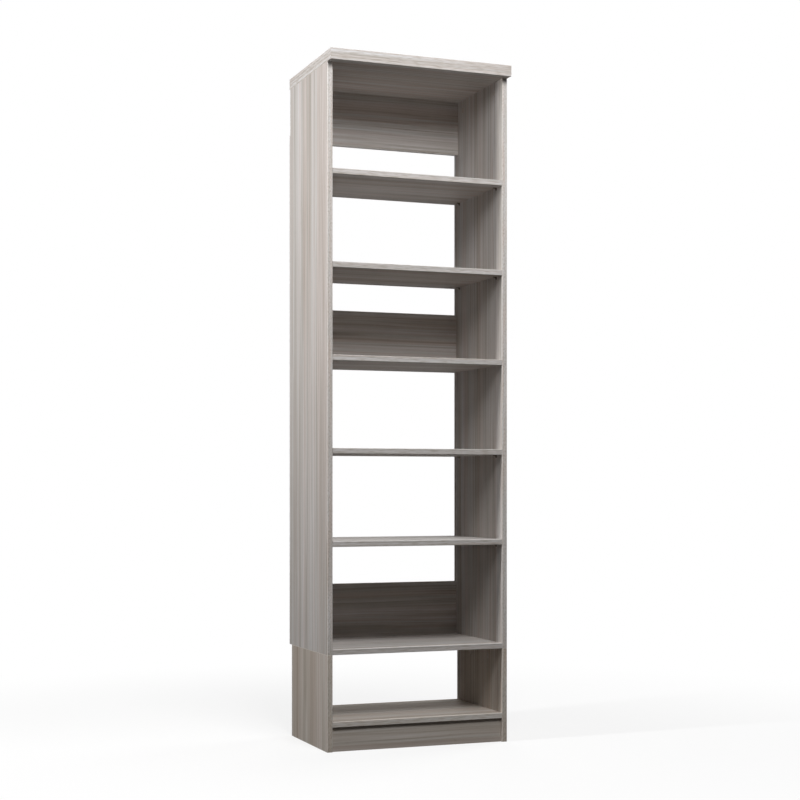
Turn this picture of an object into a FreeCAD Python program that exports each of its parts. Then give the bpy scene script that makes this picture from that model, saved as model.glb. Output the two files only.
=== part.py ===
import FreeCAD, Part
import math
import os

from FreeCAD import Rotation, Vector

# Tall open closet shelving unit in two stacked sections, in millimetres.
# +X to the right, +Y to the wall behind, +Z up.
# The origin is on the floor, under the middle of the whole unit.

# Overall size
overall_width = 609.6
side_height = 2133.6
side_depth = 392.0
cap_overhang = 34.0
cap_thickness = 35.0

# Boards
board_thickness = 17.5
rail_thickness = 16.0
band_thickness = 2.0
band_radius = 1.6
thin_band_thickness = 1.0
thin_band_radius = 0.8

# Lower section
lower_height = 300.0
baseboard_clearance = 25.0
kick_height = 76.0
kick_recess = 9.0

# Shelves, counted from the top
lowest_shelf_height = 634.3
shelf_pitch = 288.7
shelf_count = 5
fixed_shelf = 3
loose_shelf_gap = 0.5

# Back rails
rail_height = 179.0
top_rail_wall_gap = 16.0
notch_depth = 7.0
notch_height = 152.0

# Fit of a fitting in its hole
fit_gap = 0.05
end_room = 1.0

# Cam lock, drawn closed on its bolt
cam_radius = 7.5
cam_height = 12.5
cam_face_distance = 8.0
cam_from_edge = 34.0
cam_room_radius = 5.2
cam_head_room = 3.8
cam_neck_room = 2.2
cam_slot_start = 150
cam_slot_sweep = 140
cam_cross_length = 10.0
cam_cross_width = 1.6
cam_cross_depth = 3.0

# Cam bolt, with lengths measured from the face that its collar stands on
thread_radius = 2.5
thread_length = 11.0
collar_radius = 3.7
collar_length = 2.0
shank_radius = 2.9
shank_end = 24.0
neck_radius = 1.75
neck_start = 25.0
head_radius = 3.3
head_start = 31.4
head_shoulder = 32.2
head_end = 35.4
bolt_bore_radius = 4.0

# Fluted dowel
dowel_radius = 4.0
dowel_in_face = 10.0
dowel_in_edge = 20.0
flute_count = 12
flute_depth = 0.4

# Where the cams and dowels sit
fixing_inset = 60.0
dowel_step = 32.0
seam_inset = 110.0
rail_fixing_offset = 48.0
kick_cam_height = 26.0
kick_dowel_height = 56.0

# Shelf pin
pin_inset = 45.0
pin_radius = 2.5
pin_peg_length = 9.0
pin_flange_radius = 4.5
pin_flange_thickness = 1.2
pin_tongue_length = 11.0
pin_tongue_width = 8.0
pin_tongue_thickness = 2.0
pin_corner_radius = 3.5
pin_gusset_length = 8.5
pin_gusset_thickness = 1.8

# Cover discs over the cam locks that face a bay
disc_radius = 9.0
disc_thickness = 0.5

# Steel rail on the wall and the two hook plates that hang on it
strip_thickness = 2.0
plate_thickness = 2.5
bend_radius = 1.5
wall_rail_length = 570.0
wall_rail_height = 62.0
wall_rail_lip = 20.0
wall_rail_depth = 6.5
wall_rail_top = side_height - 52.0
lip_edge_radius = 0.9
wall_hole_spacing = 406.4
wall_hole_radius = 3.25
wall_hole_height = 16.0
hook_plate_width = 60.0
hook_plate_x = 120.0
hook_plate_length = 62.0
hook_wall_gap = 1.2
hook_drop = 14.0

# Pan head screws of the hook plates
screw_radius = 2.1
screw_length = 13.0
screw_point_length = 3.0
screw_hole_play = 0.2
screw_head_radius = 4.2
screw_crown_radius = 2.8
screw_head_height = 2.4
screw_cross_length = 4.4
screw_cross_width = 1.2
screw_cross_depth = 1.5
screw_spacing = 32.0
screw_height = 20.0

# Planes worked out from the sizes above
half_width = overall_width / 2
half_depth = (side_depth + cap_overhang) / 2
cap_front = -half_depth
front = cap_front + cap_overhang
wall = half_depth
lower_rear = wall - baseboard_clearance
inner_half_width = half_width - board_thickness
core_front = front + band_thickness
kick_front = front + kick_recess
cap_underside = side_height
top_rail_rear = wall - top_rail_wall_gap
bottom_board_top = lower_height + board_thickness
base_shelf_top = kick_height + board_thickness

AXIS_X = Vector(1, 0, 0)
AXIS_Y = Vector(0, 1, 0)
AXIS_Z = Vector(0, 0, 1)

drillings = {}
cams = {"upper": [], "lower": []}
bolts = {"upper": [], "lower": []}
dowels = {"upper": [], "lower": []}
cover_discs = []


def block(x_range, y_range, z_range):
    """A rectangular board between the given limits."""
    size = [high - low for low, high in (x_range, y_range, z_range)]
    return Part.makeBox(size[0], size[1], size[2], Vector(x_range[0], y_range[0], z_range[0]))


def rod(start, direction, radius, length):
    """A round bar from start, along direction."""
    return Part.makeCylinder(radius, length, start, direction)


def turned(profile):
    """A solid turned about the X axis from (x, radius) points that start and end on the axis."""
    points = [Vector(x, radius, 0) for x, radius in profile]
    outline = Part.makePolygon(points + points[:1])
    return Part.Face(outline).revolve(Vector(0, 0, 0), AXIS_X, 360)


def place(shape, origin, along, facing):
    """Turn the shape's X axis to along and its Z axis to facing, and move it to origin."""
    turn = Rotation(along, facing.cross(along), facing, "XZY")
    copy = shape.copy()
    copy.Placement = FreeCAD.Placement(origin, turn)
    return copy


def save(name, solids, board=None):
    """Write the solids of one node, with its drillings taken out.

    Where the node is glued to a board, and holes go through both, board is that board's name.
    """
    shapes = solids if isinstance(solids, list) else [solids]
    tools = drillings.get(board or name)
    if tools:
        shapes = [shape.cut(tools).removeSplitter() for shape in shapes]
    solid_list = [solid for shape in shapes for solid in shape.Solids]
    node = solid_list[0] if len(solid_list) == 1 else Part.makeCompound(solid_list)
    node.exportStep("parts/" + name + ".step")
    print(name, len(solid_list), "solids, valid:", node.isValid(), "volume", round(node.Volume))


def drill(board, tool):
    """Keep a hole to be made in a board when it is saved."""
    drillings.setdefault(board, []).append(tool)


def edge_band(corner, run, across, outward, thickness, radius):
    """A strip glued along an edge, with its two outer long corners rounded.

    The section is a rectangle, across wide and thickness deep, that starts at corner and
    is carried along run. A quarter circle of the given radius replaces each outer corner.
    """
    side = Vector(across).normalize()
    out = Vector(outward).normalize()
    far = corner + across
    slant = (side + out) * (radius / math.sqrt(2))
    slant_in = (out - side) * (radius / math.sqrt(2))
    far_centre = far + out * (thickness - radius) - side * radius
    near_centre = corner + out * (thickness - radius) + side * radius
    edges = [
        Part.LineSegment(corner, far).toShape(),
        Part.LineSegment(far, far_centre + side * radius).toShape(),
        Part.Arc(far_centre + side * radius, far_centre + slant, far_centre + out * radius).toShape(),
        Part.LineSegment(far_centre + out * radius, near_centre + out * radius).toShape(),
        Part.Arc(near_centre + out * radius, near_centre + slant_in, near_centre - side * radius).toShape(),
        Part.LineSegment(near_centre - side * radius, corner).toShape(),
    ]
    return Part.Face(Part.Wire(edges)).extrude(run)


def cross(length, width, low, high):
    """The cutting shape of a cross recess in a face that looks along Z."""
    half_length = length / 2
    half_width_of_arm = width / 2
    return [
        block((-half_length, half_length), (-half_width_of_arm, half_width_of_arm), (low, high)),
        block((-half_width_of_arm, half_width_of_arm), (-half_length, half_length), (low, high)),
    ]


def cam_lock():
    """Cam lock, closed on its bolt: the bolt's axis is X and the cross recess faces +Z.

    The drum's centre is on the Z axis. It has a round room for the bolt's head, and an entry
    as high as the room, where the head goes in when the lock is open. From the entry a slot
    as high as the bolt's neck runs a third of the way round the rim, to the closed place.
    """
    floor = cam_face_distance - cam_height
    drum = rod(Vector(0, 0, floor), AXIS_Z, cam_radius - fit_gap, cam_height)
    room = rod(Vector(0, 0, -cam_head_room), AXIS_Z, cam_room_radius, 2 * cam_head_room)
    slot_base = Vector(0, 0, -cam_neck_room)
    slot = Part.makeCylinder(cam_radius, 2 * cam_neck_room, slot_base, AXIS_Z, cam_slot_sweep)
    slot.rotate(Vector(0, 0, 0), AXIS_Z, cam_slot_start)
    entry = block((0, cam_radius), (-cam_head_room, cam_head_room), (-cam_head_room, cam_head_room))
    entry.rotate(Vector(0, 0, 0), AXIS_Z, cam_slot_start + cam_slot_sweep)
    recess = cross(
        cam_cross_length, cam_cross_width, cam_face_distance - cam_cross_depth, cam_face_distance
    )
    return drum.cut([room, slot, entry] + recess)


def cam_bolt():
    """Cam bolt along X: thread below zero, then a collar, a shank, a thin neck and the head."""
    profile = [
        (-thread_length, 0),
        (-thread_length, thread_radius - fit_gap),
        (0, thread_radius - fit_gap),
        (0, collar_radius),
        (collar_length, shank_radius),
        (shank_end, shank_radius),
        (neck_start, neck_radius),
        (head_start, neck_radius),
        (head_shoulder, head_radius),
        (head_end, head_radius),
        (head_end, 0),
    ]
    return turned(profile)


def fluted_dowel():
    """Beech dowel along X: its section is a star, where every other point is in a flute."""
    outer = dowel_radius - fit_gap
    points = []
    for index in range(2 * flute_count):
        radius = outer if index % 2 == 0 else outer - flute_depth
        angle = math.pi * index / flute_count
        points.append(Vector(-dowel_in_face, radius * math.cos(angle), radius * math.sin(angle)))
    section = Part.Face(Part.makePolygon(points + points[:1]))
    return section.extrude(AXIS_X * (dowel_in_face + dowel_in_edge))


def join_with_cam(section, anchor, held, point, along, facing, held_thickness):
    """A cam joint: the bolt's thread is in the anchor board, and the cam is in the held board.

    The point is on the anchor's surface, along points into the held board, and facing
    points to the face of the held board that the cam goes in from.
    """
    bolts[section].append(place(bolt_shape, point, along, facing))
    cam_centre = point + along * cam_from_edge
    cams[section].append(place(cam_shape, cam_centre, along, facing))
    drill(anchor, rod(point, along * -1, thread_radius, thread_length + end_room))
    drill(held, rod(point, along, bolt_bore_radius, cam_from_edge))
    cam_floor = cam_centre + facing * (cam_face_distance - cam_height)
    drill(held, rod(cam_floor, facing, cam_radius, cam_height + held_thickness / 2))
    return cam_centre + facing * (held_thickness / 2)


def join_with_dowel(section, anchor, held, point, along):
    """A dowel across the joint between two boards."""
    facing = AXIS_Z if abs(along.z) < 0.5 else AXIS_Y
    dowels[section].append(place(dowel_shape, point, along, facing))
    drill(anchor, rod(point, along * -1, dowel_radius, dowel_in_face + end_room))
    drill(held, rod(point, along, dowel_radius, dowel_in_edge + end_room))


def inward(side):
    """The way from a side panel towards the middle: side is -1 on the left, 1 on the right."""
    return Vector(-side, 0, 0)


def side_name(side, section):
    """The node name of one of the four side panels."""
    return ("left_" if side < 0 else "right_") + section + "_side"


def panel_x(side):
    """The X limits of a side panel."""
    return (-half_width, -inner_half_width) if side < 0 else (inner_half_width, half_width)


def fix_board_ends(section, board, underside, rear):
    """Two cams and two dowels at each end of a level board, with the cams in its underside."""
    middle = underside + board_thickness / 2
    for side in (-1, 1):
        panel = side_name(side, section)
        for row, step in ((front + fixing_inset, dowel_step), (rear - fixing_inset, -dowel_step)):
            point = Vector(side * inner_half_width, row, middle)
            join_with_cam(section, panel, board, point, inward(side), AXIS_Z * -1, board_thickness)
            join_with_dowel(section, panel, board, point + AXIS_Y * step, inward(side))


def fix_rail_ends(board, rear_face, bottom):
    """A cam above a dowel at each end of a back rail, with the cams in its rear face."""
    for side in (-1, 1):
        panel = side_name(side, "upper")
        middle_y = rear_face - rail_thickness / 2
        middle = Vector(side * inner_half_width, middle_y, bottom + rail_height / 2)
        step = AXIS_Z * rail_fixing_offset
        join_with_cam("upper", panel, board, middle + step, inward(side), AXIS_Y, rail_thickness)
        join_with_dowel("upper", panel, board, middle - step, inward(side))


def fix_panel_tops(section, boards_above, height, rows):
    """Cams, dowels and cover discs at the top of a left and a right side panel.

    boards_above names the board that stands on each panel. A row is the cam's place along Y
    and the step from there to its dowel.
    """
    for side, anchor in zip((-1, 1), boards_above):
        panel = side_name(side, section)
        for row, step in rows:
            point = Vector(side * (half_width - board_thickness / 2), row, height)
            cam_mouth = join_with_cam(
                section, anchor, panel, point, AXIS_Z * -1, inward(side), board_thickness
            )
            cover_discs.append(rod(cam_mouth, inward(side), disc_radius, disc_thickness))
            join_with_dowel(section, anchor, panel, point + AXIS_Y * step, AXIS_Z * -1)


def fix_kick_ends():
    """A cam below a dowel at each end of the toe kick, with the cams in its rear face."""
    for side in (-1, 1):
        panel = side_name(side, "lower")
        end = Vector(side * inner_half_width, kick_front + board_thickness / 2, 0)
        low = end + AXIS_Z * kick_cam_height
        high = end + AXIS_Z * kick_dowel_height
        join_with_cam("lower", panel, "toe_kick", low, inward(side), AXIS_Y, board_thickness)
        join_with_dowel("lower", panel, "toe_kick", high, inward(side))


def shelf_pin():
    """A shelf pin: a peg along -X, a round flange, a flat tongue along X and a gusset below it.

    The tongue's flat top is level with the top of the flange, and the shelf lies on it.
    """
    top = pin_flange_radius
    half_tongue = pin_tongue_width / 2
    peg = rod(Vector(0, 0, 0), AXIS_X * -1, pin_radius - fit_gap, pin_peg_length)
    flange = rod(Vector(0, 0, 0), AXIS_X, pin_flange_radius, pin_flange_thickness)
    tongue_z = (top - pin_tongue_thickness, top)
    tongue = block((0, pin_tongue_length), (-half_tongue, half_tongue), tongue_z)
    free_corners = [
        edge for edge in tongue.Edges
        if edge.BoundBox.ZLength > 1 and edge.BoundBox.XMin > pin_tongue_length / 2
    ]
    tongue = tongue.makeFillet(pin_corner_radius, free_corners)
    gusset_top = top - pin_tongue_thickness / 2
    gusset_rear = -pin_gusset_thickness / 2
    gusset = Part.Face(Part.makePolygon([
        Vector(0, gusset_rear, gusset_top),
        Vector(pin_gusset_length, gusset_rear, gusset_top),
        Vector(pin_flange_thickness, gusset_rear, -pin_flange_radius / 2),
        Vector(0, gusset_rear, -pin_flange_radius / 2),
        Vector(0, gusset_rear, gusset_top),
    ])).extrude(AXIS_Y * pin_gusset_thickness)
    return peg.fuse([flange, tongue, gusset]).removeSplitter()


def shelf_underside(number):
    """The height of a shelf's underside: shelf 1 is the highest."""
    return lowest_shelf_height + (shelf_count - number) * shelf_pitch


def shelf_board(number):
    """A shelf's board and its front edge band. A loose one is a little shorter."""
    gap = 0 if number == fixed_shelf else loose_shelf_gap
    half_length = inner_half_width - gap
    low = shelf_underside(number)
    board = block((-half_length, half_length), (core_front, wall), (low, low + board_thickness))
    return board, front_band(-half_length, half_length, low, board_thickness, front)


def front_band(x_low, x_high, z_low, height, face):
    """A level edge band whose outer face is at the given Y."""
    corner = Vector(x_low, face + band_thickness, z_low)
    run = AXIS_X * (x_high - x_low)
    return edge_band(corner, run, AXIS_Z * height, AXIS_Y * -1, band_thickness, band_radius)


def side_band(side, z_low, z_high):
    """The upright edge band on the front of a side panel, rounded over at the seam as well."""
    x_low = panel_x(side)[0]
    corner = Vector(x_low, core_front, z_low)
    run = AXIS_Z * (z_high - z_low)
    across = AXIS_X * board_thickness
    band = edge_band(corner, run, across, AXIS_Y * -1, band_thickness, band_radius)
    return band.makeFillet(thin_band_radius, [edge for edge in band.Edges if is_seam_edge(edge)])


def is_seam_edge(edge):
    """Whether an edge of an upright band lies at the seam, and isn't the one on the board."""
    box = edge.BoundBox
    level = abs(box.ZMin - lower_height) < fit_gap and box.ZLength < fit_gap
    return level and box.YMin < core_front - fit_gap


def seam_band(side, rear, up):
    """The thin band on a side panel's end at the seam.

    up is 1 on top of the lower panel, and -1 under the upper one.
    """
    corner = Vector(panel_x(side)[0], core_front, lower_height - up * thin_band_thickness)
    run = AXIS_Y * (rear - core_front)
    across = AXIS_X * board_thickness
    return edge_band(corner, run, across, AXIS_Z * up, thin_band_thickness, thin_band_radius)


def upper_side(side):
    """An upper side panel, with the shallow notch at its top rear corner for the wall rail."""
    x_range = panel_x(side)
    panel = block(x_range, (core_front, wall), (lower_height + thin_band_thickness, side_height))
    notch = block(x_range, (wall - notch_depth, wall), (side_height - notch_height, side_height))
    return panel.cut(notch)


def lower_side(side):
    """A lower side panel, cut back at the rear to clear a baseboard."""
    return block(panel_x(side), (core_front, lower_rear), (0, lower_height - thin_band_thickness))


def top_cap():
    """The thick top board, without its edge bands."""
    core_half = half_width - band_thickness
    z_range = (cap_underside, cap_underside + cap_thickness)
    return block((-core_half, core_half), (cap_front + band_thickness, wall), z_range)


def cap_bands():
    """Edge bands on the cap's front and two ends. The front one covers the others' ends."""
    bands = [front_band(-half_width, half_width, cap_underside, cap_thickness, cap_front)]
    for side in (-1, 1):
        corner = Vector(side * (half_width - band_thickness), cap_front + band_thickness, cap_underside)
        run = AXIS_Y * (wall - cap_front - band_thickness)
        bands.append(
            edge_band(corner, run, AXIS_Z * cap_thickness, AXIS_X * side, band_thickness, band_radius)
        )
    return bands


def back_rail(rear_face, bottom, band_on_top):
    """A back rail and the thin band on its free long edge."""
    y_range = (rear_face - rail_thickness, rear_face)
    x_range = (-inner_half_width, inner_half_width)
    top = bottom + rail_height
    if band_on_top:
        board_z = (bottom, top - thin_band_thickness)
        band_z = (top - thin_band_thickness, top)
    else:
        board_z = (bottom + thin_band_thickness, top)
        band_z = (bottom, bottom + thin_band_thickness)
    return block(x_range, y_range, board_z), block(x_range, y_range, band_z)


def bent_strip(path, thickness, x_range):
    """Sheet metal bent to a path of (y, z) points, as wide as x_range.

    The path is the left side of the sheet as it is walked. Each corner gets bend_radius
    inside and bend_radius plus the thickness outside.
    """
    points = [Vector(x_range[0], y, z) for y, z in path]
    ways = [(b - a).normalize() for a, b in zip(points, points[1:])]
    rights = [AXIS_X.cross(way) * -1 for way in ways]
    other = [points[0] + rights[0] * thickness]
    for index in range(1, len(points) - 1):
        before = rights[index - 1]
        after = rights[index]
        other.append(points[index] + (before + after) * (thickness / (1 + before.dot(after))))
    other.append(points[-1] + rights[-1] * thickness)
    outline = Part.makePolygon(points + other[::-1] + points[:1])
    sheet = Part.Face(outline).extrude(AXIS_X * (x_range[1] - x_range[0]))
    for index in range(1, len(points) - 1):
        turns_left = ways[index - 1].cross(ways[index]).dot(AXIS_X) > 0
        inner, outer = (points[index], other[index]) if turns_left else (other[index], points[index])
        for corner, radius in ((inner, bend_radius), (outer, bend_radius + thickness)):
            edges = [edge for edge in sheet.Edges if near_line(edge, corner)]
            sheet = sheet.makeFillet(radius, edges)
    return sheet


def near_line(edge, corner):
    """Whether an edge runs along X through the given corner."""
    box = edge.BoundBox
    level = abs(box.YLength) < 0.01 and abs(box.ZLength) < 0.01
    return level and abs(box.YMin - corner.y) < 0.01 and abs(box.ZMin - corner.z) < 0.01


def wall_rail():
    """Steel strip screwed to the wall. Its upper lip stands off, so that a hook fits behind."""
    x_range = (-wall_rail_length / 2, wall_rail_length / 2)
    lip_rear = wall - wall_rail_depth + strip_thickness
    step_top = wall_rail_top - wall_rail_lip
    step_bottom = step_top - (wall - lip_rear)
    bottom = wall_rail_top - wall_rail_height
    path = [(lip_rear, wall_rail_top), (lip_rear, step_top), (wall, step_bottom), (wall, bottom)]
    strip = bent_strip(path, strip_thickness, x_range)
    top_edges = [
        edge for edge in strip.Edges
        if edge.BoundBox.XLength > strip_thickness and edge.BoundBox.ZMin > wall_rail_top - fit_gap
    ]
    strip = strip.makeFillet(lip_edge_radius, top_edges)
    holes = [
        rod(Vector(x, wall, bottom + wall_hole_height), AXIS_Y * -1, wall_hole_radius, strip_thickness)
        for x in (-wall_hole_spacing / 2, wall_hole_spacing / 2)
    ]
    return strip.cut(holes)


def hook_plate(centre_x):
    """Steel plate on the rear of the top rail, bent over the wall rail's lip."""
    x_range = (centre_x - hook_plate_width / 2, centre_x + hook_plate_width / 2)
    bridge_top = wall_rail_top + plate_thickness
    hook_rear = wall - hook_wall_gap
    path = [
        (top_rail_rear, bridge_top - hook_plate_length),
        (top_rail_rear, bridge_top),
        (hook_rear, bridge_top),
        (hook_rear, wall_rail_top - hook_drop),
    ]
    plate = bent_strip(path, plate_thickness, x_range)
    hole_radius = screw_radius + screw_hole_play
    holes = [rod(point, AXIS_Y, hole_radius, plate_thickness) for point in screw_points(centre_x)]
    return plate.cut(holes)


def screw_points(centre_x):
    """Where a hook plate's two screws enter the rear face of the top rail."""
    height = wall_rail_top - hook_plate_length + screw_height
    steps = (-screw_spacing / 2, screw_spacing / 2)
    return [Vector(centre_x + step, top_rail_rear, height) for step in steps]


def pan_head_screw():
    """A pan head screw along Z, drawn without its thread, with a cross recess in its head.

    Its place is where it enters the wood, so the plate lies between there and the head.
    """
    head_end = plate_thickness + screw_head_height
    tip = plate_thickness - screw_length
    body = turned([
        (tip, 0),
        (tip + screw_point_length, screw_radius),
        (plate_thickness, screw_radius),
        (plate_thickness, screw_head_radius),
        (head_end, screw_crown_radius),
        (head_end, 0),
    ])
    body.rotate(Vector(0, 0, 0), AXIS_Y, -90)
    return body.cut(cross(screw_cross_length, screw_cross_width, head_end - screw_cross_depth, head_end))


def hook_plate_screws():
    """The four screws of the hook plates, with their pilot holes in the top rail."""
    screw = pan_head_screw()
    pilot_depth = screw_length - plate_thickness + end_room
    screws = []
    for centre_x in (-hook_plate_x, hook_plate_x):
        for point in screw_points(centre_x):
            screws.append(place(screw, point, AXIS_X, AXIS_Y))
            drill("top_rail", rod(point, AXIS_Y * -1, screw_radius + fit_gap, pilot_depth))
    return screws


def shelf_pins():
    """Four pins under each loose shelf, and their holes in the side panels."""
    pin = shelf_pin()
    pins = []
    for number in range(1, shelf_count + 1):
        if number == fixed_shelf:
            continue
        height = shelf_underside(number) - pin_flange_radius
        for side in (-1, 1):
            for row in (front + pin_inset, wall - pin_inset):
                point = Vector(side * inner_half_width, row, height)
                pins.append(place(pin, point, inward(side), AXIS_Z))
                hole = rod(point, inward(side) * -1, pin_radius, pin_peg_length + end_room)
                drill(side_name(side, "upper"), hole)
    return pins


os.makedirs("parts", exist_ok=True)
cam_shape = cam_lock()
bolt_shape = cam_bolt()
dowel_shape = fluted_dowel()

# Joints of the upper section
fix_board_ends("upper", "shelf_3", shelf_underside(fixed_shelf), wall)
fix_board_ends("upper", "bottom_board", lower_height, wall)
cap_rows = ((front + fixing_inset, dowel_step), (top_rail_rear - fixing_inset, -dowel_step))
fix_panel_tops("upper", ("top_cap", "top_cap"), side_height, cap_rows)
top_rail_bottom = side_height - rail_height
middle_rail_bottom = shelf_underside(fixed_shelf) + board_thickness
fix_rail_ends("top_rail", top_rail_rear, top_rail_bottom)
fix_rail_ends("middle_rail", wall, middle_rail_bottom)
fix_rail_ends("lower_rail", wall, bottom_board_top)

# Joints of the lower section
fix_board_ends("lower", "base_shelf", kick_height, lower_rear)
fix_kick_ends()
seam_rows = ((front + seam_inset, dowel_step), (lower_rear - seam_inset, -dowel_step))
fix_panel_tops("lower", ("left_upper_side", "right_upper_side"), lower_height, seam_rows)

pins = shelf_pins()
screws = hook_plate_screws()

# Side panels, and their bands on the front edge and at the seam
for side in (-1, 1):
    upper = side_name(side, "upper")
    upper_bands = [side_band(side, lower_height, side_height), seam_band(side, wall, -1)]
    save(upper, upper_side(side))
    save(upper + "_band", upper_bands, upper)
    lower = side_name(side, "lower")
    lower_bands = [side_band(side, 0, lower_height), seam_band(side, lower_rear, 1)]
    save(lower, lower_side(side))
    save(lower + "_band", lower_bands, lower)

# Cap, shelves, bottom board and base
save("top_cap", top_cap())
save("top_cap_bands", cap_bands())
for number in range(1, shelf_count + 1):
    board, band = shelf_board(number)
    save("shelf_" + str(number), board)
    save("shelf_" + str(number) + "_band", band)
between_sides = (-inner_half_width, inner_half_width)
save("bottom_board", block(between_sides, (core_front, wall), (lower_height, bottom_board_top)))
save("bottom_board_band", front_band(*between_sides, lower_height, board_thickness, front))
save("base_shelf", block(between_sides, (core_front, lower_rear), (kick_height, base_shelf_top)))
save("base_shelf_band", front_band(*between_sides, kick_height, board_thickness, front))
save("toe_kick", block(between_sides, (kick_front, kick_front + board_thickness), (0, kick_height)))

# Back rails
rails = {
    "top_rail": back_rail(top_rail_rear, top_rail_bottom, False),
    "middle_rail": back_rail(wall, middle_rail_bottom, True),
    "lower_rail": back_rail(wall, bottom_board_top, True),
}
for name, (board, band) in rails.items():
    save(name, board)
    save(name + "_band", band)

# Fittings
for section in ("upper", "lower"):
    save(section + "_cam_locks", cams[section])
    save(section + "_cam_bolts", bolts[section])
    save(section + "_dowels", dowels[section])
save("cam_cover_discs", cover_discs)
save("shelf_pins", pins)

# Wall hanging parts
save("wall_rail", wall_rail())
save("hook_plates", [hook_plate(-hook_plate_x), hook_plate(hook_plate_x)])
save("hook_plate_screws", screws)
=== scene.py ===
import math

import bpy
import numpy as np
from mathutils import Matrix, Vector

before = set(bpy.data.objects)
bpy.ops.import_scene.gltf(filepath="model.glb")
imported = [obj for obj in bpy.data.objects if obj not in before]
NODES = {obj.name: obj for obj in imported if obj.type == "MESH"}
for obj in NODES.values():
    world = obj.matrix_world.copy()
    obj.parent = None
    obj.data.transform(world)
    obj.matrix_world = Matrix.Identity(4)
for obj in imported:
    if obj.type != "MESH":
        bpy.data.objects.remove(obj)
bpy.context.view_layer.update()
MM = 0.001

# The camera looks level, from the left of the front and from a height between shelves 4 and 5.
# Its turn is in degrees, and its lens and sensor are in millimetres.
CAMERA_PLACE = (-1.8922, -4.9162, 0.8261)
CAMERA_TURN = -21.098
CAMERA_LENS = 72.82
CAMERA_SENSOR = 36.0
CAMERA_SHIFT_UP = 0.1062

SHELVES = ["shelf_%d" % number for number in range(1, 6)]
RAILS = ["top_rail", "middle_rail", "lower_rail"]
LEVEL_BOARDS = ["top_cap", "bottom_board"] + SHELVES
LEVEL_BANDS = ["top_cap_bands"] + [board + "_band" for board in ["bottom_board"] + SHELVES + RAILS]

# Grey wood-grain print. Its six hues are warm greys, from a little brown to almost plain, and
# HUE_PLACES says where each lies, from 0 to 1, in the noise that chooses between them. The boards
# of the lower section come from another batch, which is darker and browner. The edge bands are
# printed a little lighter or warmer than the boards.
HUE_PLACES = (0.05, 0.28, 0.44, 0.58, 0.74, 0.95)
BOARD_HUES = ("#CCC2BC", "#CEC6C1", "#CDC8C4", "#CBC7C3", "#CFC9C5", "#CEC5C0")
LOWER_BOARD_HUES = ("#C4B7AC", "#CABEB4", "#CAC1B7", "#C7BEB4", "#CCC2B8", "#C8BBB0")
BAND_HUES = ("#CEC2B9", "#D2C8C1", "#D0CAC4", "#CDC8C3", "#D3CBC5", "#D0C6BE")
LEVEL_BAND_HUES = ("#CDC4BE", "#D0C9C4", "#CFCAC6", "#CCC8C4", "#D1CBC7", "#CEC6C0")
LOWER_BAND_HUES = ("#C3B5A7", "#CBBFB2", "#CBC2B7", "#C7BFB4", "#CDC3B7", "#C8BBAE")
# Painted highlight: the pale colour that the edge bands are mixed towards along their rounded corners,
# standing in for the light that these corners catch
PAINTED_CORNER_HIGHLIGHT = "#EFEAE4"

# How far red, green and blue gain with a lighter ink: the darker ink is also the browner one
INK_LEAN = (-0.14, 0.0, 0.20)

# How far the print is moved, in metres. On the toe kick this keeps the dark streaks off it.
LOWER_SHIFT = 1.7
TOE_KICK_SHIFT = 0.9
COVER_DISC_SHIFT = 0.4

# The grain of a level edge band is drawn out further, and its streaks and specks are stronger
LEVEL_GRAIN = {"draw": 5.0, "streaks": 0.22, "speckle": 0.24}

# The print's grain sways to the side by up to half of SWAY_WIDTH. The other two are the scale of
# the sways, to the metre across the grain and along it.
SWAY_WIDTH = 14 * MM
SWAYS_ACROSS = 6.0
SWAYS_ALONG = 2.0

# Chips of the particle core are 1 to 3 mm wide, in tones from dark to pale, and a cut through
# them is rough
CHIP_WIDTH = 2.2 * MM
CHIP_TONES = [(0.10, "#B09A78"), (0.35, "#C8B391"), (0.60, "#D3C1A1"), (0.90, "#DDD0B4")]
CORE_ROUGHNESS = 0.95

ZINC_CRYSTAL_WIDTH = 6 * MM
ZINC_TONES = [(0.0, "#96989A"), (0.5, "#ADAFB0"), (1.0, "#C4C5C5")]

BEECH_FLECK_WIDTH = 1.2 * MM
BEECH_TONES = [(0.3, "#B98F63"), (0.5, "#D1AA7C"), (0.7, "#DDBB91")]

# Resin and plastic have an IOR of about 1.5. Their gloss is kept low, as on the matt boards.
MATT_RESIN = {"IOR": 1.5, "Specular IOR Level": 0.03}

# Roughness at the low and at the high end of the pattern that it follows. A pale line of a
# board's print is smoother than a dark one, a dark speck of a band is rougher than the rest, and
# so is a pale crystal of zinc.
BOARD_ROUGHNESS = (0.66, 0.54)
BAND_ROUGHNESS = (0.5, 0.65)
ZINC_ROUGHNESS = (0.32, 0.5)

# Noise seldom leaves the wide range, and is mostly within the middle one. Dark lines, pores and
# specks show only from the start of their ranges on, and are darkest at the end.
WIDE = (0.25, 0.75)
MIDDLE = (0.3, 0.7)
DARK_LINES = (0.62, 0.74)
PORES = (0.6, 0.8)
SPECKS = (0.46, 0.66)
SHADE_BETWEEN_SPECKS = 1.03

# A surface looks along an axis where that part of its normal is larger than this
ALONG_AXIS = 0.7

# The largest squared part of the normal where the painted highlight on a rounded corner starts and where it
# is palest
CORNER_START = 0.97
CORNER_PALEST = 0.8
CORNER_PALENESS = 0.55

# Near the object the floor is lit and shows its shadow, and further off it turns plain white.
# The light that it bounces comes from a grey of its own.
FLOOR_RADIUS = 9.0
FLOOR_RINGS = 9
FLOOR_SECTORS = 96
SHADOWED_FLOOR_RADIUS = 0.6
WHITE_FLOOR_RADIUS = 2.4
LIT_FLOOR_GREY = "#959595"
LIT_FLOOR_GLOW = 0.72
BOUNCING_FLOOR_GREY = "#454443"

WHITE = "#FFFFFF"
LIGHT_FROM_ALL_ROUND = 0.05


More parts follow.
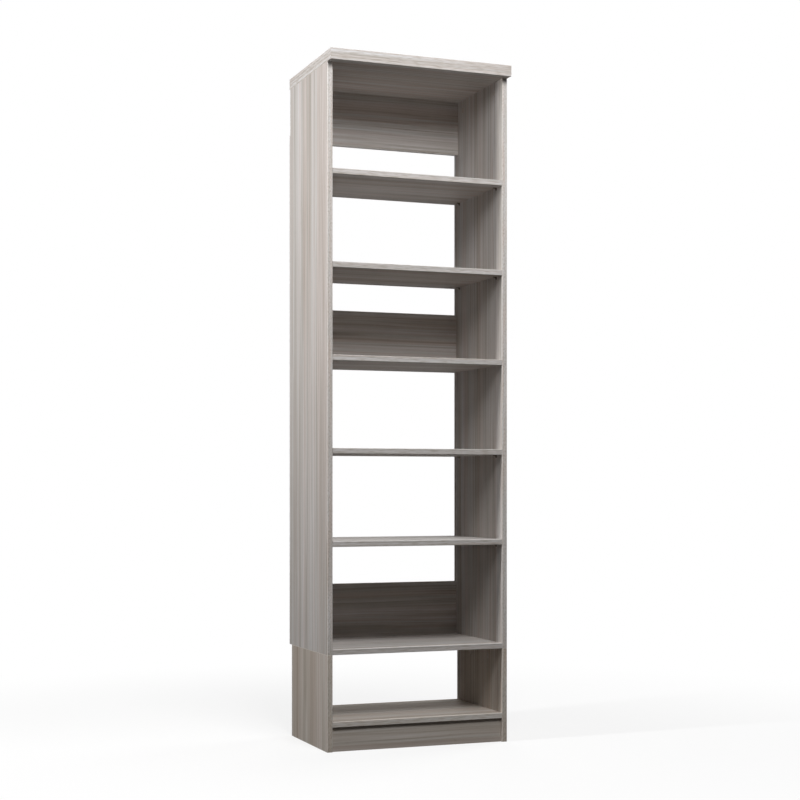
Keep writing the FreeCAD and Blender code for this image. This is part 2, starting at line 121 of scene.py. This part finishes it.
def linear(colour):
    """The linear RGBA of an sRGB hex colour: the sRGB curve is taken off each channel."""
    channels = np.array([int(colour[i:i + 2], 16) for i in (1, 3, 5)]) / 255
    straight = np.where(channels <= 0.04045, channels / 12.92, ((channels + 0.055) / 1.055) ** 2.4)
    return (*straight, 1.0)


def add(tree, kind, sockets=(), **settings):
    """Adds one node. Settings are its properties, and sockets pairs an input's name or number
    with its value, or with the output that it is linked from."""
    made = tree.nodes.new("ShaderNode" + kind)
    for name, value in settings.items():
        setattr(made, name, value)
    for key, value in dict(sockets).items():
        if isinstance(value, bpy.types.NodeSocket):
            tree.links.new(value, made.inputs[key])
        else:
            made.inputs[key].default_value = value
    return made


def material(name):
    """An empty material and its node tree."""
    made = bpy.data.materials.new(name)
    made.use_nodes = True
    made.node_tree.nodes.clear()
    return made, made.node_tree


def colour_stops(ramp_node, stops):
    """Gives a colour ramp its stops, as (position, hex colour) pairs."""
    ramp = ramp_node.color_ramp
    while len(ramp.elements) > 1:
        ramp.elements.remove(ramp.elements[-1])
    ramp.elements[0].position = stops[0][0]
    ramp.elements[0].color = linear(stops[0][1])
    for position, colour in stops[1:]:
        ramp.elements.new(position).color = linear(colour)


def looks_along(tree, normal, axis):
    """1 where the surface looks along an axis, either way, and 0 elsewhere."""
    part = add(tree, "SeparateXYZ", {0: normal}).outputs[axis]
    part = add(tree, "Math", {0: part}, operation="ABSOLUTE").outputs[0]
    return add(tree, "Math", {0: part, 1: ALONG_AXIS}, operation="GREATER_THAN").outputs[0]


def stretched_noise(tree, place, along, width_mm, length_mm, detail):
    """Noise drawn out into streaks: width_mm across and length_mm along one axis."""
    scale = [1 / (width_mm * MM)] * 3
    scale[along] = 1 / (length_mm * MM)
    drawn_out = add(tree, "VectorMath", {0: place, 1: scale}, operation="MULTIPLY").outputs[0]
    return add(tree, "TexNoise", {"Vector": drawn_out, "Scale": 1.0, "Detail": detail}).outputs["Fac"]


def swaying(tree, place, along):
    """The place moved a few millimetres by slow noise, so that grain drawn there wanders to the
    side over about half a metre."""
    scale = [SWAYS_ACROSS] * 3
    scale[along] = SWAYS_ALONG
    drawn_out = add(tree, "VectorMath", {0: place, 1: scale}, operation="MULTIPLY").outputs[0]
    slow = add(tree, "TexNoise", {"Vector": drawn_out, "Scale": 1.0, "Detail": 1.0}).outputs["Color"]
    centred = add(tree, "VectorMath", {0: slow, 1: (0.5, 0.5, 0.5)}, operation="SUBTRACT").outputs[0]
    sway = add(tree, "VectorMath", {0: centred, "Scale": SWAY_WIDTH}, operation="SCALE").outputs[0]
    return add(tree, "VectorMath", {0: place, 1: sway}, operation="ADD").outputs[0]


def layered_shade(tree, layers):
    """The shades of all layers multiplied. A layer is a noise, two values of it, and the shade at
    each of the two. Between them the shade goes evenly from one to the other."""
    shade = 1.0
    for noise, low, high, low_shade, high_shade in layers:
        layer = add(tree, "MapRange", {0: noise, 1: low, 2: high, 3: low_shade, 4: high_shade})
        shade = add(tree, "Math", {0: shade, 1: layer.outputs[0]}, operation="MULTIPLY").outputs[0]
    return shade


def chosen_hue(tree, noise, hues):
    """One of the six hues of a print, or a mix of two, as the noise says."""
    choice = add(tree, "MapRange", {0: noise, 1: MIDDLE[0], 2: MIDDLE[1]}).outputs[0]
    ramp = add(tree, "ValToRGB", {"Fac": choice})
    colour_stops(ramp, list(zip(HUE_PLACES, hues)))
    return ramp.outputs[0]


def inked(tree, hue, shade):
    """A hue printed at a shade around 1. The lean is the ink's times the shade less 1."""
    lean = add(tree, "Math", {0: shade, 1: 1.0}, operation="SUBTRACT").outputs[0]
    lean = add(tree, "VectorMath", {0: INK_LEAN, "Scale": lean}, operation="SCALE").outputs[0]
    lean = add(tree, "VectorMath", {0: lean, 1: (1, 1, 1)}, operation="ADD").outputs[0]
    toned = add(tree, "VectorMath", {0: hue, 1: lean}, operation="MULTIPLY").outputs[0]
    return add(tree, "VectorMath", {0: toned, "Scale": shade}, operation="SCALE").outputs[0]


def printed_grain(tree, place, along, hues):
    """The colour of a board's print, and the fine lines and pores that its skin follows.

    Each noise has its width and length in millimetres, from broad bands down to pores. The pores
    are drawn a few times as wide as real ones, so that they show.
    """
    grain = swaying(tree, place, along)
    hue = stretched_noise(tree, grain, along, 34, 3200, detail=2.0)
    band = stretched_noise(tree, place, along, 46, 2400, detail=1.0)
    streak = stretched_noise(tree, grain, along, 13, 1300, detail=2.0)
    line = stretched_noise(tree, grain, along, 4.2, 600, detail=2.0)
    dark_line = stretched_noise(tree, grain, along, 7, 900, detail=0.0)
    pore = stretched_noise(tree, grain, along, 1.6, 26, detail=1.0)
    shade = layered_shade(tree, [
        (band, *WIDE, 0.86, 1.14),
        (streak, *WIDE, 0.88, 1.12),
        (line, *WIDE, 0.82, 1.18),
        (dark_line, *DARK_LINES, 1.0, 0.76),
        (pore, *PORES, 1.0, 0.86),
    ])
    return inked(tree, chosen_hue(tree, hue, hues), shade), line, pore


def melamine(name, along, face, hues=BOARD_HUES, shift=0.0):
    """Melamine-faced particleboard: printed paper with straight grain under a matt resin skin.

    The eye gets long soft streaks, from hairlines to bands 40 mm wide, browner where they are
    darker and cooler where they are paler, a few dark lines, and a dull sheen that follows the
    fine grain. Cut edges and holes show the chips of the particle core. along is the axis of the
    grain and face the axis that the printed faces look along, 0 to 2. shift moves the print, so
    that two boards differ.
    """
    made, tree = material(name)
    place = add(tree, "TexCoord").outputs["Object"]
    moved = add(tree, "Mapping", {"Vector": place, "Location": (shift, shift, shift)}).outputs[0]
    printed, line, pore = printed_grain(tree, moved, along, hues)

    chips = add(tree, "TexVoronoi", {"Vector": moved, "Scale": 1 / CHIP_WIDTH, "Randomness": 1.0})
    chip_tone = add(tree, "SeparateColor", {0: chips.outputs["Color"]}).outputs[0]
    core = add(tree, "ValToRGB", {"Fac": chip_tone})
    colour_stops(core, CHIP_TONES)

    is_face = looks_along(tree, add(tree, "NewGeometry").outputs["True Normal"], face)
    colour = add(tree, "Mix", {0: is_face, 6: core.outputs[0], 7: printed}, data_type="RGBA").outputs[2]
    face_rough = add(tree, "MapRange", enumerate([line, *MIDDLE, *BOARD_ROUGHNESS])).outputs[0]
    rough = add(tree, "Mix", {0: is_face, 2: CORE_ROUGHNESS, 3: face_rough}).outputs[0]
    face_relief = add(tree, "Math", {0: pore, 1: line}, operation="ADD").outputs[0]
    relief = add(tree, "Mix", {0: is_face, 2: chips.outputs["Distance"], 3: face_relief}).outputs[0]
    bump = add(tree, "Bump", {"Strength": 0.35, "Distance": 0.12 * MM, "Height": relief}).outputs[0]
    skin = add(tree, "BsdfPrincipled", {
        "Base Color": colour, "Roughness": rough, "Normal": bump, **MATT_RESIN,
    })
    add(tree, "OutputMaterial", {"Surface": skin.outputs[0]})
    return made


def painted_corner_highlight(tree, normal):
    """How much paler the print is painted, as a painted highlight: 0 on a flat, and up to CORNER_PALENESS on
    a rounded corner.
    The largest of the normal's three squared parts is 1 on a flat that looks along an axis, and
    less on a surface between two axes."""
    squared = add(tree, "VectorMath", {0: normal, 1: normal}, operation="MULTIPLY").outputs[0]
    parts = add(tree, "SeparateXYZ", {0: squared})
    most = add(tree, "Math", {0: parts.outputs[0], 1: parts.outputs[1]}, operation="MAXIMUM").outputs[0]
    most = add(tree, "Math", {0: most, 1: parts.outputs[2]}, operation="MAXIMUM").outputs[0]
    reach = [most, CORNER_START, CORNER_PALEST, 0.0, CORNER_PALENESS]
    return add(tree, "MapRange", enumerate(reach)).outputs[0]


def edge_band(name, along, hues=BAND_HUES, shift=0.0, draw=1.0, streaks=0.14, speckle=0.22, tone=1.0):
    """Printed ABS edge band, glued on and scraped round at its corners.

    The eye gets a shorter, more mottled grain than on the boards, with dark specks drawn out
    along it, and a paler line along each rounded corner, which is a painted highlight. along is
    the axis of the band, 0 to 2. draw stretches the grain along it, streaks is how far a streak
    is lighter or darker than the rest, speckle is how much darker a speck is, and tone lightens
    or darkens the whole band, which paints light into it.
    On a face that looks along X the grain lies along Y where it lies along X elsewhere, as
    on the sides of the cap.
    """
    made, tree = material(name)
    place = add(tree, "TexCoord").outputs["Object"]
    normal = add(tree, "NewGeometry").outputs["Normal"]
    if along == 0:
        axes = add(tree, "SeparateXYZ", {0: place}).outputs
        turned = add(tree, "CombineXYZ", {0: axes[1], 1: axes[0], 2: axes[2]}).outputs[0]
        is_side = looks_along(tree, normal, 0)
        place = add(tree, "Mix", {0: is_side, 4: place, 5: turned}, data_type="VECTOR").outputs[1]
    moved = add(tree, "Mapping", {"Vector": place, "Location": (shift, shift, shift)}).outputs[0]
    mottle = stretched_noise(tree, moved, along, 12, 260 * draw, detail=2.0)
    streak = stretched_noise(tree, moved, along, 4.5, 180 * draw, detail=2.0)
    speck = stretched_noise(tree, moved, along, 2.8, 7 * draw, detail=1.0)
    # tone scales the whole shade of the band, which paints light into it
    shade = layered_shade(tree, [
        (streak, *WIDE, 1 - streaks, 1 + streaks),
        (speck, *SPECKS, SHADE_BETWEEN_SPECKS * tone, (SHADE_BETWEEN_SPECKS - speckle) * tone),
    ])
    printed = inked(tree, chosen_hue(tree, mottle, hues), shade)

    # Painted highlight: along each rounded corner the print is mixed towards a pale colour
    corner = painted_corner_highlight(tree, normal)
    colour = add(tree, "Mix", {0: corner, 6: printed, 7: linear(PAINTED_CORNER_HIGHLIGHT)}, data_type="RGBA").outputs[2]
    rough = add(tree, "MapRange", enumerate([speck, *MIDDLE, *BAND_ROUGHNESS])).outputs[0]
    bump = add(tree, "Bump", {"Strength": 0.3, "Distance": 0.1 * MM, "Height": speck}).outputs[0]
    skin = add(tree, "BsdfPrincipled", {
        "Base Color": colour, "Roughness": rough, "Normal": bump, **MATT_RESIN,
    })
    add(tree, "OutputMaterial", {"Surface": skin.outputs[0]})
    return made


def metal(name, colour, roughness, grit_mm, wander):
    """A plain metal surface with fine grit, by which its tone and roughness wander. The grit is
    drawn coarser than the real one, so that it shows close up."""
    made, tree = material(name)
    place = add(tree, "TexCoord").outputs["Object"]
    grit = add(tree, "TexNoise", {"Vector": place, "Scale": 1 / (grit_mm * MM), "Detail": 3.0})
    shade = layered_shade(tree, [(grit.outputs["Fac"], *MIDDLE, 1 - wander, 1 + wander)])
    tint = add(tree, "VectorMath", {0: linear(colour)[:3], "Scale": shade}, operation="SCALE").outputs[0]
    rough = add(tree, "Math", {0: shade, 1: roughness}, operation="MULTIPLY").outputs[0]
    bump = add(tree, "Bump", {"Strength": 0.2, "Distance": 0.05 * MM, "Height": grit.outputs["Fac"]})
    skin = add(tree, "BsdfPrincipled", {
        "Base Color": tint, "Metallic": 1.0, "Roughness": rough, "Normal": bump.outputs[0],
    })
    add(tree, "OutputMaterial", {"Surface": skin.outputs[0]})
    return made


def die_cast_zinc():
    """Die-cast zinc, bare as it leaves its mould: a dull mid grey that is slightly mottled."""
    return metal("die_cast_zinc", "#A6A8AB", roughness=0.45, grit_mm=0.4, wander=0.08)


def bright_plated_steel():
    """Steel bolts and screws with bright plating: pale, smooth and the shiniest of the metals."""
    return metal("bright_plated_steel", "#C9CACB", roughness=0.28, grit_mm=0.8, wander=0.05)


def bronze_plated_steel():
    """Steel pins with dark bronze plating: brown, half matt and easy to miss in the shade."""
    return metal("dark_bronze_plated_steel", "#6A5F54", roughness=0.42, grit_mm=0.8, wander=0.08)


def galvanised_steel():
    """Hot-dip galvanised sheet: flat crystals of zinc, 6 mm wide, each with its own grey."""
    made, tree = material("galvanised_steel")
    place = add(tree, "TexCoord").outputs["Object"]
    crystals = add(tree, "TexVoronoi", {"Vector": place, "Scale": 1 / ZINC_CRYSTAL_WIDTH})
    crystal_tone = add(tree, "SeparateColor", {0: crystals.outputs["Color"]}).outputs[0]
    ramp = add(tree, "ValToRGB", {"Fac": crystal_tone})
    colour_stops(ramp, ZINC_TONES)
    rough = add(tree, "MapRange", enumerate([crystal_tone, 0.0, 1.0, *ZINC_ROUGHNESS])).outputs[0]
    bump = add(tree, "Bump", {"Strength": 0.1, "Distance": 0.05 * MM, "Height": crystal_tone}).outputs[0]
    skin = add(tree, "BsdfPrincipled", {
        "Base Color": ramp.outputs[0], "Metallic": 1.0, "Roughness": rough, "Normal": bump,
    })
    add(tree, "OutputMaterial", {"Surface": skin.outputs[0]})
    return made


def turned_beech():
    """Plain beech of the dowels: pale pinkish tan, with fine flecks about a millimetre wide."""
    made, tree = material("turned_beech")
    place = add(tree, "TexCoord").outputs["Object"]
    fleck = add(tree, "TexNoise", {"Vector": place, "Scale": 1 / BEECH_FLECK_WIDTH, "Detail": 2.0})
    ramp = add(tree, "ValToRGB", {"Fac": fleck.outputs["Fac"]})
    colour_stops(ramp, BEECH_TONES)
    bump = add(tree, "Bump", {"Strength": 0.3, "Distance": 0.1 * MM, "Height": fleck.outputs["Fac"]})
    skin = add(tree, "BsdfPrincipled", {
        "Base Color": ramp.outputs[0], "Roughness": 0.6, "IOR": 1.5, "Normal": bump.outputs[0],
    })
    add(tree, "OutputMaterial", {"Surface": skin.outputs[0]})
    return made


def dress(names, made):
    """Puts a material in every slot of the named CAD nodes."""
    for name in names:
        for slot in NODES[name].material_slots:
            slot.material = made


def dress_boards():
    """Gives each board its print, with the grain along the board."""
    lower = {"hues": LOWER_BOARD_HUES, "shift": LOWER_SHIFT}
    kick = {"hues": LOWER_BOARD_HUES, "shift": TOE_KICK_SHIFT}
    dress(["left_upper_side", "right_upper_side"], melamine("upper_side_melamine", along=2, face=0))
    dress(["left_lower_side", "right_lower_side"], melamine("lower_side_melamine", along=2, face=0, **lower))
    dress(LEVEL_BOARDS, melamine("shelf_melamine", along=0, face=2))
    dress(["base_shelf"], melamine("base_shelf_melamine", along=0, face=2, **lower))
    dress(RAILS, melamine("rail_melamine", along=0, face=1))
    dress(["toe_kick"], melamine("toe_kick_melamine", along=0, face=1, **kick))


def dress_bands():
    """Gives the edge bands their print, each group in its own tone. The tones paint light: they make the
    bands lighter where the lamps light the fronts less, and the base shelf's band lightest, as a painted
    highlight.
    """
    lower = {"hues": LOWER_BAND_HUES, "shift": LOWER_SHIFT}
    # Painted light: each tone lightens a group of bands, standing in for light on the fronts; 1.3 on the
    # base band is a painted highlight
    upper_sides = edge_band("upper_side_edge_band", along=2, tone=1.07)
    lower_sides = edge_band("lower_side_edge_band", along=2, tone=1.12, **lower)
    level = edge_band("level_edge_band", along=0, hues=LEVEL_BAND_HUES, tone=1.03, **LEVEL_GRAIN)
    base = edge_band("base_edge_band", along=0, tone=1.3, **lower, **LEVEL_GRAIN)
    dress(["left_upper_side_band", "right_upper_side_band"], upper_sides)
    dress(["left_lower_side_band", "right_lower_side_band"], lower_sides)
    dress(LEVEL_BANDS, level)
    dress(["base_shelf_band"], base)


def dress_fittings():
    """Gives the fittings in the boards and at the wall their metals, wood and print."""
    dress(["upper_cam_locks", "lower_cam_locks"], die_cast_zinc())
    dress(["upper_cam_bolts", "lower_cam_bolts", "hook_plate_screws"], bright_plated_steel())
    dress(["shelf_pins"], bronze_plated_steel())
    dress(["wall_rail", "hook_plates"], galvanised_steel())
    dress(["upper_dowels", "lower_dowels"], turned_beech())
    dress(["cam_cover_discs"], edge_band("cover_disc_print", along=2, shift=COVER_DISC_SHIFT))


def seen_directly(tree):
    """1 for the camera, a reflection or a look through glass, and 0 for light that bounces."""
    path = add(tree, "LightPath").outputs
    seen = add(tree, "Math", {0: path["Is Camera Ray"], 1: path["Is Glossy Ray"]}, operation="MAXIMUM")
    seen = add(tree, "Math", {0: seen.outputs[0], 1: path["Is Transmission Ray"]}, operation="MAXIMUM")
    return seen.outputs[0]


def floor_paint():
    """Pale matt floor: white to the eye with the object's soft shadow near it, and plain white
    further off. Light that bounces from it is weak, so that the undersides stay dark."""
    made, tree = material("pale_studio_floor")
    place = add(tree, "TexCoord").outputs["Object"]
    distance = add(tree, "VectorMath", {0: place}, operation="LENGTH").outputs["Value"]
    reach = {0: distance, 1: SHADOWED_FLOOR_RADIUS, 2: WHITE_FLOOR_RADIUS}
    far = add(tree, "MapRange", reach, interpolation_type="SMOOTHSTEP").outputs[0]
    lit = add(tree, "BsdfDiffuse", {"Color": linear(LIT_FLOOR_GREY)}).outputs[0]
    glow = add(tree, "Emission", {"Color": linear(WHITE), "Strength": LIT_FLOOR_GLOW}).outputs[0]
    near = add(tree, "AddShader", {0: lit, 1: glow}).outputs[0]
    white = add(tree, "Emission", {"Color": linear(WHITE), "Strength": 1.0}).outputs[0]
    seen = add(tree, "MixShader", {0: far, 1: near, 2: white}).outputs[0]
    dull = add(tree, "BsdfDiffuse", {"Color": linear(BOUNCING_FLOOR_GREY)}).outputs[0]
    mixed = add(tree, "MixShader", {0: seen_directly(tree), 1: dull, 2: seen}).outputs[0]
    add(tree, "OutputMaterial", {"Surface": mixed})
    return made


def studio_floor():
    """A level round floor: rings about the origin, each ring's radius times the sine and cosine."""
    radii = np.linspace(0.0, FLOOR_RADIUS, FLOOR_RINGS + 1)[1:, None]
    angles = np.linspace(0, 2 * math.pi, FLOOR_SECTORS + 1)[:-1]
    x = radii * np.cos(angles)
    y = radii * np.sin(angles)
    points = np.vstack([[0, 0, 0], np.stack([x, y, np.zeros_like(x)], axis=-1).reshape(-1, 3)])

    # Triangles round the middle, then one ring of quads after the other
    here = 1 + np.arange(FLOOR_SECTORS)
    after = np.roll(here, -1)
    middle = np.stack([np.zeros_like(here), here, after], axis=-1)
    inner = FLOOR_SECTORS * np.arange(FLOOR_RINGS - 1)[:, None]
    outer = inner + FLOOR_SECTORS
    quads = np.stack([inner + here, outer + here, outer + after, inner + after], axis=-1).reshape(-1, 4)
    mesh = bpy.data.meshes.new("studio_floor")
    mesh.from_pydata(points.tolist(), [], middle.tolist() + quads.tolist())
    mesh.materials.append(floor_paint())
    floor = bpy.data.objects.new("studio_floor", mesh)
    bpy.context.scene.collection.objects.link(floor)


def sky():
    """A white backdrop for the eye and for reflections, and a weak white light from all round."""
    world = bpy.data.worlds.new("studio")
    world.use_nodes = True
    tree = world.node_tree
    tree.nodes.clear()
    weak = add(tree, "Background", {"Color": linear(WHITE), "Strength": LIGHT_FROM_ALL_ROUND}).outputs[0]
    white = add(tree, "Background", {"Color": linear(WHITE), "Strength": 1.0}).outputs[0]
    mixed = add(tree, "MixShader", {0: seen_directly(tree), 1: weak, 2: white}).outputs[0]
    add(tree, "OutputWorld", {"Surface": mixed})
    bpy.context.scene.world = world


def softbox(name, place, aim, width, height, power):
    """A white area lamp at place that faces aim, with its size in metres and its power in watts."""
    data = bpy.data.lights.new(name, "AREA")
    data.shape = "RECTANGLE"
    data.size = width
    data.size_y = height
    data.energy = power
    lamp = bpy.data.objects.new(name, data)
    lamp.location = place
    direction = Vector(aim) - Vector(place)
    lamp.rotation_euler = direction.to_track_quat("-Z", "Y").to_euler()
    lamp.visible_camera = False
    bpy.context.scene.collection.objects.link(lamp)


def lamps():
    """A large lamp in front and above, one to each side and a weak one behind.

    The left lamp is narrow and stands almost level with the front edges, so that it lights only
    a stripe of the right panel's inner face.
    """
    softbox("key_softbox", place=(-0.25, -2.3, 3.1), aim=(0, 0, 1.3), width=1.2, height=1.2, power=62)
    softbox("left_softbox", place=(-2.4, -0.31, 2.2), aim=(0, -0.18, 1.3), width=0.15, height=1.2, power=46)
    softbox("right_softbox", place=(2.4, 0.9, 2.3), aim=(0, 0.1, 1.2), width=1.2, height=1.2, power=30)
    softbox("back_softbox", place=(0.95, 2.9, 2.1), aim=(0, 0.2, 1.1), width=1.2, height=1.2, power=18)


def photo_camera():
    """The camera at the photograph's place and angle."""
    data = bpy.data.cameras.new("photo_camera")
    data.lens = CAMERA_LENS
    data.sensor_width = CAMERA_SENSOR
    data.shift_y = CAMERA_SHIFT_UP
    camera = bpy.data.objects.new("photo_camera", data)
    camera.location = CAMERA_PLACE
    camera.rotation_euler = (math.radians(90), 0, math.radians(CAMERA_TURN))
    bpy.context.scene.collection.objects.link(camera)
    bpy.context.scene.camera = camera


dress_boards()
dress_bands()
dress_fittings()
studio_floor()
sky()
lamps()
photo_camera()
bpy.context.scene.view_settings.view_transform = "Standard"
